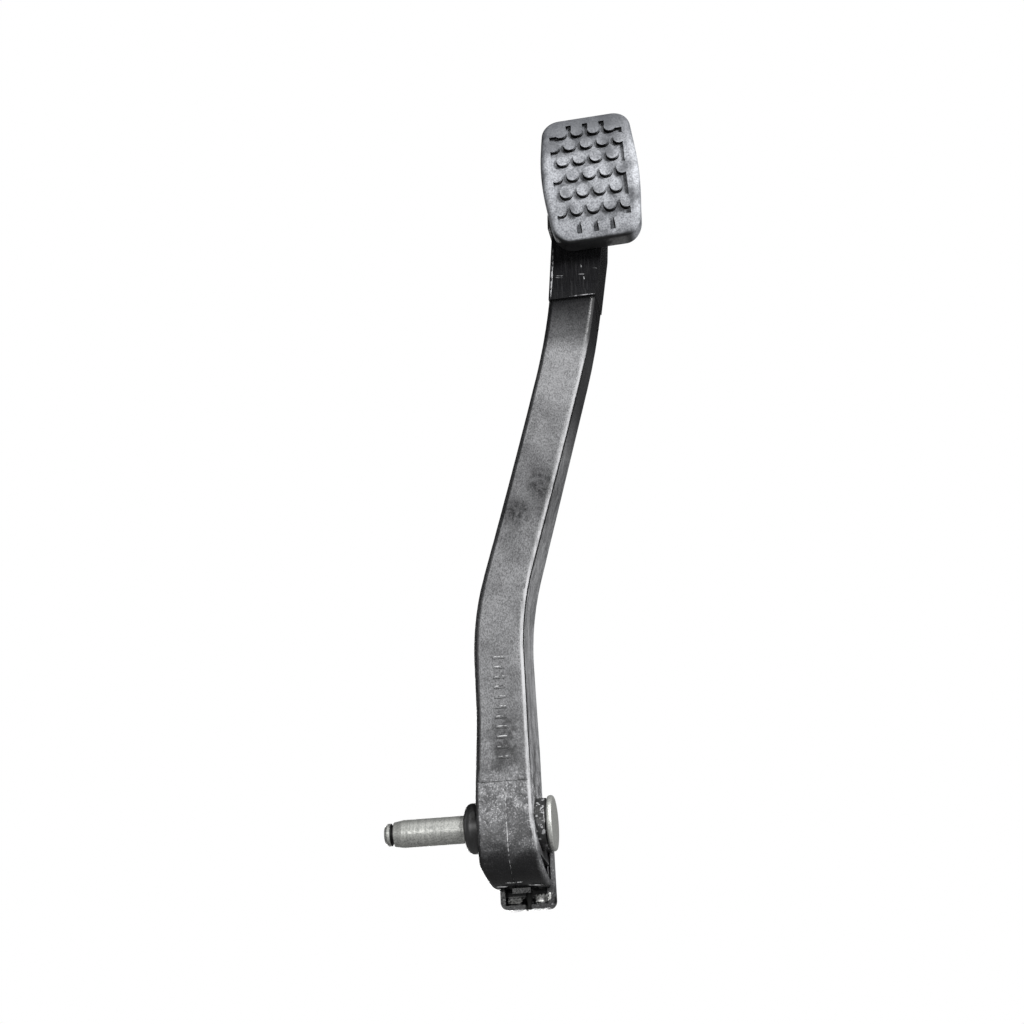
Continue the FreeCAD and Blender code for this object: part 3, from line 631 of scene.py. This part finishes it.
class Carrier:
    """Finds where a straight line meets a moulded node, so that small pieces sit on it."""

    def __init__(self, node: str) -> None:
        """Index the node's triangles.

        Args:
            node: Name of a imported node.
        """
        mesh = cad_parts[node].data
        points = np.empty(len(mesh.vertices) * 3)
        mesh.vertices.foreach_get("co", points)
        faces = [tuple(p.vertices) for p in mesh.polygons]
        self.tree = BVHTree.FromPolygons([Vector(c) for c in points.reshape(-1, 3)], faces)

    def touch(self, starts: np.ndarray, heading: Point) -> tuple[np.ndarray, np.ndarray]:
        """First points met from several starts.

        Args:
            starts: Start points, one a row.
            heading: Direction of travel.

        Returns:
            Points on the node and the outward normals there.
        """
        hits = [self.tree.ray_cast(Vector(s), Vector(heading)) for s in starts]
        lost = [tuple(s) for s, hit in zip(starts, hits) if hit[0] is None]
        if lost:
            raise ValueError(f"no surface met from {lost[0]}")
        places = np.array([hit[0] for hit in hits])
        normals = np.array([hit[1] for hit in hits])
        facing = np.sign(normals @ -np.array(heading))
        return places, normals * facing[:, None]


def ridge(name: str, path: np.ndarray, normals: np.ndarray, wide: np.ndarray,
          high: np.ndarray) -> bpy.types.Object:
    """Closed ridge along a path: an ellipse between the surface normal and the sideways direction.

    Point (t, a) = path(t) + side(t) * wide(t) * cos a + normal(t) * high(t) * sin a, with
    side = tangent x normal; each end closes in a pole half a step beyond the path.

    Args:
        name: Name of the object.
        path: Points of the path, one a row.
        normals: Surface normal at each point.
        wide: Half width at each point.
        high: Half height at each point.

    Returns:
        The object, linked to the scene.
    """
    tangent = np.gradient(path, axis=0)
    side = np.cross(tangent, normals)
    side /= np.linalg.norm(side, axis=1, keepdims=True)
    around = RING_POINTS
    angle = np.linspace(0.0, 2.0 * math.pi, around, endpoint=False)
    rings = (path[:, None, :] + side[:, None, :] * (wide[:, None] * np.cos(angle))[:, :, None]
             + normals[:, None, :] * (high[:, None] * np.sin(angle))[:, :, None])
    rows = len(path)
    first = np.arange(rows * around).reshape(rows, around)
    after = np.roll(first, -1, axis=1)
    quads = np.stack([first[:-1], after[:-1], after[1:], first[1:]], axis=-1).reshape(-1, 4)
    poles = rows * around
    caps = np.concatenate([
        np.stack([np.full(around, poles), after[0], first[0]], axis=-1),
        np.stack([np.full(around, poles + 1), first[-1], after[-1]], axis=-1)])
    ends = np.stack([path[0] * 1.5 - path[1] * 0.5, path[-1] * 1.5 - path[-2] * 0.5])
    mesh = bpy.data.meshes.new(name)
    points = np.concatenate([rings.reshape(-1, 3), ends])
    mesh.from_pydata(points.tolist(), [], quads.tolist() + caps.tolist())
    volume = sum(mesh.vertices[p.vertices[0]].co.dot(p.normal) * p.area for p in mesh.polygons)
    if volume < 0.0:
        mesh.flip_normals()
    mesh.polygons.foreach_set("use_smooth", np.ones(len(mesh.polygons), dtype=bool))
    made = bpy.data.objects.new(name, mesh)
    bpy.context.scene.collection.objects.link(made)
    return made


def taper(count: int, power: float = 4.0) -> np.ndarray:
    """Fullness along a ridge: 1 - |2t - 1| ^ power, and no less than the small end."""
    run = np.abs(np.linspace(-1.0, 1.0, count))
    return np.clip(1.0 - run ** power, SMALL_END, 1.0)


@dataclass
class Arm:
    """Moulded arm with rubbed ticks, painted highlights on edges and tick tops, dark parting lines,
    grease in the cable seat and a black plug of painted shade in the cable slot.

    The spans wall_z, parting_z, flash_y, flash_z and plug_z are in millimetres.
    """

    node: str = "pedal_arm"
    ahead: float = -0.09
    beside: float = 0.12
    wall_y: float = -8.0 * MM
    wall_z: Span = (6.0, 234.0)
    wall_points: int = 24
    tick_wide: float = 0.22 * MM
    tick_high: float = 0.22 * MM
    tick_points: int = 9
    edge_points: int = 48
    mark_count: int = 11
    mark_first: float = 27.85 * MM
    mark_pitch: float = 4.4 * MM
    mark_middle: float = 20.4 * MM
    mark_half: float = 2.3 * MM
    mark_wide: float = 0.20 * MM
    mark_high: float = 0.07 * MM
    mark_points: int = 13
    parting_z: Span = (20.0, 216.0)
    parting_points: int = 90
    parting_inset: float = 6.0 * MM
    parting_deep: float = 1.7 * MM
    parting_wide: float = 0.55 * MM
    parting_high: float = 0.16 * MM
    parting_power: float = 20.0
    flash_y: Span = (-21.5, -4.6)
    flash_z: Span = (235.0, 228.4)
    flash_points: int = 16
    flash_wide: float = 0.16 * MM
    nub_y: float = -3.6 * MM
    nub_z: float = 227.6 * MM
    nub_wide: float = 0.75 * MM
    nub_points: int = 13
    bead_wide: float = 0.42 * MM
    bead_high: float = 0.34 * MM
    bead_sway: float = 0.5
    bead_points: int = 60
    plug_x: float = 24.15 * MM
    plug_y: float = 15.5 * MM
    plug_z: Span = (-34.4, -26.0)
    plug_wide: float = 1.9 * MM
    plug_high: float = 1.2 * MM
    plug_power: float = 24.0
    plug_points: int = 33

    def dress(self) -> None:
        """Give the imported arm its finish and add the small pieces."""
        self.carrier = Carrier(self.node)
        finish = FilledNylon(left=self.left_wall()).material()
        self.wear_and_highlight = BrokenGrey().material()
        self.dark = BrokenGrey("dark_flash", (0.002, 0.002, 0.002), (0.006, 0.006, 0.006),
                                shine=0.04).material()
        # Painted highlights: the neck, mark and skirt finishes are pale for edges that catch the
        # light; the hub finish is its seam.
        self.edges = {
            "neck": self.wear_and_highlight,
            "mark": BrokenGrey("mark_highlight_nylon", pale=(0.34, 0.34, 0.345)).material(),
            "hub": BrokenGrey("seam_nylon", pale=(0.30, 0.30, 0.305)).material(),
            "skirt": BrokenGrey("rim_highlight_nylon", pale=(0.75, 0.75, 0.76)).material()}
        coat(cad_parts[self.node], finish)
        for way in (Facing.RUB, Facing.SHADE, Facing.FLANK, Facing.FRONT):
            note_facing(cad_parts[self.node], way)
        self.add_ticks()
        self.add_edges()
        self.add_marks()
        self.add_parting()
        self.add_flash()
        self.add_grease()
        self.add_plug()

    def meet(self, start: float, y: np.ndarray, z: np.ndarray) -> tuple[np.ndarray, np.ndarray]:
        """First points of the arm met along X from one side.

        Args:
            start: X of the starts, left of the arm where it is negative and right of it if not.
            y: Y of the starts.
            z: Z of the starts.

        Returns:
            Points on the arm and the outward normals there.
        """
        starts = np.stack([np.full_like(z, start), y, z], axis=-1)
        return self.carrier.touch(starts, HEADWARD if start < 0.0 else SPIGOTWARD)

    def left_wall(self) -> Pairs:
        """Height and X of the arm's left wall, met from the left at even heights.

        Returns:
            Pairs of both in millimetres.
        """
        z = np.linspace(*self.wall_z, self.wall_points) * MM
        met, _ = self.meet(self.ahead, np.full_like(z, self.wall_y), z)
        return tuple((float(p[2] / MM), float(p[0] / MM)) for p in met)

    @staticmethod
    def place(name: str, path: np.ndarray, normals: np.ndarray, wide: np.ndarray,
              high: np.ndarray, finish: bpy.types.Material) -> None:
        """Add a ridge that belongs to the arm and rides with the pedal."""
        add_piece(ridge(name, path, normals, wide, high), Body.PEDAL, Slot.ARM, finish)

    def lay(self, name: str, x: np.ndarray, z: np.ndarray, wide: float, high: float,
            finish: bpy.types.Material) -> None:
        """Lay a ridge on the arm's foot side along a line given in X and Z.

        Args:
            name: Name of the piece.
            x: X of the points.
            z: Z of the points.
            wide: Half width.
            high: Half height.
            finish: Material of the piece.
        """
        starts = np.stack([x, np.full_like(x, self.ahead), z], axis=-1)
        path, normals = self.carrier.touch(starts, REARWARD)
        full = taper(len(x))
        self.place(name, path, normals, wide * full, high * full, finish)

    def lay_straight(self, name: str, ends: Spot, points: int, wide: float, high: float,
                     finish: bpy.types.Material) -> None:
        """Lay a straight ridge on the arm's foot side.

        Args:
            name: Name of the piece.
            ends: X and Z of both ends in millimetres.
            points: Points along the ridge.
            wide: Half width.
            high: Half height.
            finish: Material of the piece.
        """
        x0, z0, x1, z1 = ends
        run = np.linspace(0.0, 1.0, points)
        x = (x0 + (x1 - x0) * run) * MM
        z = (z0 + (z1 - z0) * run) * MM
        self.lay(name, x, z, wide, high, finish)

    def add_ticks(self) -> None:
        """Short ejector and vent marks on the front of the neck."""
        for number, ends in enumerate(NECK_TICKS):
            self.lay_straight(f"neck_tick.{number}", ends, self.tick_points, self.tick_wide,
                              self.tick_high, self.wear_and_highlight)

    def add_edges(self) -> None:
        """Painted highlights on the neck's edges and on the lower rim of the skirt, and pale flash
        in the hub's seam.
        """
        for name, ends, wide, high in PALE_EDGES:
            self.lay_straight(name, ends, self.edge_points, wide * MM, high * MM,
                              self.edges[name.split("_")[0]])

    def add_marks(self) -> None:
        """Painted highlights on the upper edges of the plain raised ticks."""
        x = self.mark_middle + self.mark_half * np.linspace(-1.0, 1.0, self.mark_points)
        for number in range(self.mark_count):
            level = np.full_like(x, self.mark_first + number * self.mark_pitch)
            self.lay(f"mark_highlight.{number}", x, level, self.mark_wide, self.mark_high,
                     self.edges["mark"])

    def add_parting(self) -> None:
        """Dark parting line where the rounded front edge runs into the head side."""
        z = np.linspace(*self.parting_z, self.parting_points) * MM
        flank, _ = self.meet(-self.ahead, np.full_like(z, self.wall_y), z)
        inset = flank[:, 0] - self.parting_inset
        starts = np.stack([inset, np.full_like(z, self.ahead), z], axis=-1)
        front, _ = self.carrier.touch(starts, REARWARD)
        path, normals = self.meet(-self.ahead, front[:, 1] + self.parting_deep, z)
        full = taper(len(z), self.parting_power)
        self.place("parting_line", path, normals, self.parting_wide * full,
                   self.parting_high * full, self.dark)

    def add_flash(self) -> None:
        """Thin flash down the head side under the neck, ending in a nub left by the mould."""
        y = np.linspace(*self.flash_y, self.flash_points) * MM
        z = np.linspace(*self.flash_z, self.flash_points) * MM
        path, normals = self.meet(self.beside, y, z)
        full = self.flash_wide * taper(len(z))
        self.place("flash_line", path, normals, full, full, self.dark)
        run = np.linspace(-1.0, 1.0, self.nub_points)
        dome = self.nub_wide * np.sqrt(np.clip(1.0 - run ** 2, 0.04, 1.0))
        path, normals = self.meet(self.beside, np.full_like(run, self.nub_y),
                                  self.nub_z + run * self.nub_wide)
        self.place("flash_nub", path, normals, dome, dome, self.dark)

    def add_grease(self) -> None:
        """Wavy beads of grease in the cable seat, both sides of the slot."""
        wet = GreaseAndShade().material()
        run = np.linspace(0.0, 1.0, self.bead_points)
        for number, (x0, x1, level, swing, waves, phase) in enumerate(GREASE_BEADS):
            wave = np.sin(2.0 * waves * run * math.pi + phase)
            x = (x0 + (x1 - x0) * run + self.bead_sway * wave) * MM
            z = (level + swing * wave) * MM
            self.lay(f"grease_bead.{number}", x, z, self.bead_wide, self.bead_high, wet)

    def add_plug(self) -> None:
        """Painted shade: a black, matte plug that fills the cable slot."""
        z = np.linspace(*self.plug_z, self.plug_points) * MM
        path = np.stack([np.full_like(z, self.plug_x), np.full_like(z, self.plug_y), z], axis=-1)
        normals = np.tile(FOOTWARD, (len(z), 1))
        full = taper(len(z), self.plug_power)
        # Painted shade: black and matte so the slot reads dark.
        black = GreaseAndShade("slot_painted_shade", (0.003, 0.003, 0.003), (0.008, 0.008, 0.008), 0.0, 0.6)
        self.place("slot_shade_plug", path, normals, self.plug_wide * full, self.plug_high * full,
                   black.material())


@dataclass
class Tread:
    """Rubber tread stretched over the pad plate, with painted shadow at the foot of its dots."""

    node: str = "pedal_pad"
    middle: Point = (78.2 * MM, -48.0 * MM, 285.6 * MM)
    tilt: float = 7.2
    roll: float = 1.5
    crown: float = 60.0 * MM
    outer_row: int = 3
    row_pitch: float = 7.76 * MM
    dot_pitch: float = 7.66 * MM
    ring: float = 3.0 * MM
    field_half: float = 16.4 * MM
    field_low: float = 26.0 * MM
    crescent: tuple[float, float, int] = (160.0, 350.0, 25)
    hook: tuple[float, float, int] = (178.0, 115.0, 10)
    slit_points: int = 8
    shadow_wide: float = 0.42 * MM
    shadow_high: float = 0.10 * MM

    def dress(self) -> None:
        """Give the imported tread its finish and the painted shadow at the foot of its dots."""
        coat(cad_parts[self.node], TreadRubber().material())
        note_facing(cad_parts[self.node], Facing.UNDER)
        self.add_painted_shadow()

    def painted_shadow_lines(self) -> list[tuple[np.ndarray, np.ndarray]]:
        """Painted shadow: crescents at the lower foot of the dots and hooked lines in the slits of
        the lowest row.

        Dot (row, i) stands at across = (i - (count - 1) / 2) * dot_pitch and
        height = crown * sin(row * row_pitch / crown) in the tread's own plane, with 4 dots in odd
        rows and 5 in even ones.

        Returns:
            Across and height of each line's points.
        """
        lines = []
        angle = np.radians(np.linspace(*self.crescent))
        bend = np.radians(np.linspace(*self.hook))
        for row in range(-self.outer_row, self.outer_row + 1):
            height = self.crown * math.sin(row * self.row_pitch / self.crown)
            count = 4 if row % 2 else 5
            for i in range(count):
                middle = (i - (count - 1) / 2.0) * self.dot_pitch
                if row > -self.outer_row:
                    lines.append((middle + self.ring * np.cos(angle),
                                  height + self.ring * np.sin(angle)))
                elif i > 0:
                    edge = np.full(self.slit_points, -self.ring)
                    low = np.linspace(-self.field_low, height, self.slit_points)
                    lines.append((middle + np.append(edge, self.ring * np.cos(bend)),
                                  np.append(low, height + self.ring * np.sin(bend))))
        return lines

    def add_painted_shadow(self) -> None:
        """Lay the lines of painted shadow on the tread's sunk field, joined in one piece."""
        carrier = Carrier(self.node)
        turn = np.array(Matrix.Rotation(math.radians(self.tilt), 3, "X")
                        @ Matrix.Rotation(math.radians(-self.roll), 3, "Y"))
        heading = tuple(turn @ REARWARD)
        made = []
        for number, (x, z) in enumerate(self.painted_shadow_lines()):
            inside = np.abs(x) < self.field_half
            ahead = np.full(inside.sum(), -self.crown)
            flat = np.stack([x[inside], ahead, z[inside]], axis=-1)
            path, normals = carrier.touch(flat @ turn.T + np.array(self.middle), heading)
            own = (path - np.array(self.middle)) @ turn
            radius = np.hypot(own[:, 1] - self.crown, own[:, 2])
            sunk = radius < self.crown - self.shadow_wide
            full = taper(sunk.sum(), 2.0)
            made.append(ridge(f"grime.{number}", path[sunk], normals[sunk],
                              self.shadow_wide * full, self.shadow_high * full))
        made[0].name = "tread_painted_shadow"
        with bpy.context.temp_override(active_object=made[0], selected_editable_objects=made):
            bpy.ops.object.join()
        # Painted shadow: black lines at the lower foot of the dots and along the slits.
        black = BrokenGrey("tread_painted_shadow", (0.002, 0.002, 0.002), (0.005, 0.005, 0.005),
                            shine=0.03)
        add_piece(made[0], Body.PEDAL, Slot.PAD, black.material())


@dataclass
class Pivot:
    """Headed pivot pin and the two collared bushes that run on it."""

    pin: str = "pivot_pin"
    bushes: tuple[str, str] = ("left_bush", "right_bush")

    def dress(self) -> None:
        """Give pin and bushes their finishes."""
        coat(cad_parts[self.pin], PlatedSteel().material())
        finish = BushNylon().material()
        for bush in self.bushes:
            coat(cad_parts[bush], finish)


def coat(thing: bpy.types.Object, finish: bpy.types.Material) -> None:
    """Put one material in every material slot of an object."""
    if not thing.material_slots:
        thing.data.materials.append(finish)
    for place in thing.material_slots:
        place.material = finish
    LOG.info("%s: %s", thing.name, finish.name)


def note_facing(thing: bpy.types.Object, way: Facing) -> None:
    """Note on each face corner how far the surface faces one way.

    Share = smooth step, between two cosines, of the cosine between the corner's normal and the
    direction.

    Args:
        thing: The object that takes the attribute.
        way: Name, direction and the two cosines.
    """
    name, direction, start, full = way.value
    normals = np.empty(len(thing.data.loops) * 3, dtype=np.float32)
    thing.data.corner_normals.foreach_get("vector", normals)
    cosine = normals.reshape(-1, 3) @ np.array(direction)
    rise = np.clip((cosine - start) / (full - start), 0.0, 1.0)
    share = rise * rise * (3.0 - 2.0 * rise)
    noted = thing.data.attributes.new(name, "FLOAT", "CORNER")
    noted.data.foreach_set("value", share.astype(np.float32))


def add_piece(thing: bpy.types.Object, body: Body, slot: Slot, finish: bpy.types.Material) -> None:
    """Dress a new piece and let it ride on a body.

    Args:
        thing: The piece.
        body: Body it moves with.
        slot: Slot of the record; not used.
        finish: Its material.
    """
    coat(thing, finish)
    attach(thing, body.value)


@dataclass(frozen=True)
class Lamp:
    """Soft rectangular lamp aimed at a point."""

    name: str
    place: Point
    aim: Point
    wide: float
    tall: float
    power: float

    def hang(self) -> None:
        """Add the lamp to the scene."""
        data = bpy.data.lights.new(self.name, "AREA")
        data.shape = "RECTANGLE"
        data.size = self.wide
        data.size_y = self.tall
        data.energy = self.power
        made = bpy.data.objects.new(self.name, data)
        made.location = self.place
        sight = Vector(self.aim) - Vector(self.place)
        made.rotation_euler = sight.to_track_quat("-Z", "Y").to_euler()
        bpy.context.scene.collection.objects.link(made)
        LOG.info("lamp %s", self.name)


@dataclass
class Studio:
    """Camera at the photograph's angle, grey floor, soft lamps and a white surround."""

    turn: float = 8.5
    rise: float = -18.5
    roll: float = 3.0
    eye: Point = (0.136895, -0.732019, -0.104773)
    focal_px: float = 1700.0
    frame_px: float = 1024.0
    sensor: float = 36.0
    floor_level: float = -0.130
    floor_half: float = 0.8
    floor_lines: int = 9
    floor_cloud: float = 0.6
    floor_dark: Colour = (0.20, 0.20, 0.20)
    floor_pale: Colour = (0.26, 0.26, 0.26)
    ambient: float = 0.035

    def build(self) -> None:
        """Set camera, floor, lamps and surround."""
        self.set_camera()
        self.lay_floor()
        self.hang_lamps()
        self.set_surround()
        bpy.context.scene.view_settings.view_transform = "Standard"

    def set_camera(self) -> None:
        """Camera from its turn about Z, its rise over the horizon and its roll about its sight."""
        turn, rise, roll = (math.radians(a) for a in (self.turn, self.rise, self.roll))
        right = Vector((math.cos(turn), math.sin(turn), 0.0))
        level = math.cos(rise)
        sight = Vector((-math.sin(turn) * level, math.cos(turn) * level, -math.sin(rise)))
        above = right.cross(sight)
        across = math.cos(roll) * right - math.sin(roll) * above
        upward = math.sin(roll) * right + math.cos(roll) * above
        data = bpy.data.cameras.new("camera")
        data.sensor_width = self.sensor
        data.lens = self.focal_px / self.frame_px * data.sensor_width
        made = bpy.data.objects.new("camera", data)
        turned = Matrix((across, upward, -sight)).transposed().to_4x4()
        made.matrix_world = Matrix.Translation(self.eye) @ turned
        bpy.context.scene.collection.objects.link(made)
        bpy.context.scene.camera = made

    def lay_floor(self) -> None:
        """Grey floor under the pedal: a flat grid with a faint broad unevenness of tone."""
        side = np.linspace(-self.floor_half, self.floor_half, self.floor_lines)
        x, y = (g.ravel() for g in np.meshgrid(side, side))
        points = np.stack([x, y, np.full_like(x, self.floor_level)], axis=-1)
        cell = np.arange(len(points)).reshape(self.floor_lines, -1)
        quads = np.stack([cell[:-1, :-1], cell[:-1, 1:], cell[1:, 1:], cell[1:, :-1]], axis=-1)
        mesh = bpy.data.meshes.new("floor")
        mesh.from_pydata(points.tolist(), [], quads.reshape(-1, 4).tolist())
        floor = bpy.data.objects.new("floor", mesh)
        bpy.context.scene.collection.objects.link(floor)
        made = Finish("grey_floor", Specular_IOR_Level=0.0)
        tone = made.noise(self.floor_cloud, 3.0, 0.5)
        made.feed("Base Color", made.mix(tone, self.floor_dark, self.floor_pale))
        made.feed("Roughness", 0.85 + 0.1 * tone)
        coat(floor, made.material)

    def hang_lamps(self) -> None:
        """Key high in front, two on the head side, one for the pin, back fill and left edge."""
        aim = (0.04, -0.02, 0.15)
        for lamp in (
                Lamp("key", (0.30, -0.75, 1.15), (0.05, -0.02, 0.17), 0.16, 0.16, 11.0),
                Lamp("head_front", (0.74, -0.82, 0.54), aim, 0.22, 0.30, 33.0),
                Lamp("head_side", (0.95, -0.16, 0.30), aim, 0.20, 1.0, 9.0),
                Lamp("pin_front", (-0.24, -0.95, 0.07), (-0.015, 0.0, 0.0), 0.12, 0.28, 2.5),
                Lamp("back_fill", (-0.30, 1.05, 0.15), aim, 0.5, 0.5, 9.0),
                Lamp("left_edge", (-0.80, -0.10, 0.25), aim, 0.08, 0.8, 1.2)):
            lamp.hang()

    def set_surround(self) -> None:
        """White surround behind the pedal; its light on the pedal is dim."""
        world = bpy.data.worlds.new("surround")
        bpy.context.scene.world = world
        world.use_nodes = True
        tree = world.node_tree
        tree.nodes.clear()
        shown, lit = (tree.nodes.new("ShaderNodeBackground") for _ in range(2))
        shown.inputs["Color"].default_value = (1.0, 1.0, 1.0, 1.0)
        lit.inputs["Color"].default_value = (1.0, 1.0, 1.0, 1.0)
        lit.inputs["Strength"].default_value = self.ambient
        path = tree.nodes.new("ShaderNodeLightPath")
        blend = tree.nodes.new("ShaderNodeMixShader")
        output = tree.nodes.new("ShaderNodeOutputWorld")
        tree.links.new(path.outputs["Is Camera Ray"], blend.inputs[0])
        tree.links.new(lit.outputs[0], blend.inputs[1])
        tree.links.new(shown.outputs[0], blend.inputs[2])
        tree.links.new(blend.outputs[0], output.inputs[0])


def main() -> None:
    """Dress every sub-assembly and set the studio."""
    logging.basicConfig(level=logging.INFO, format="%(name)s: %(message)s")
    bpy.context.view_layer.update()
    for assembly in (Pivot(), Arm(), Tread()):
        assembly.dress()
    Studio().build()


if __name__ == "__main__":
    main()
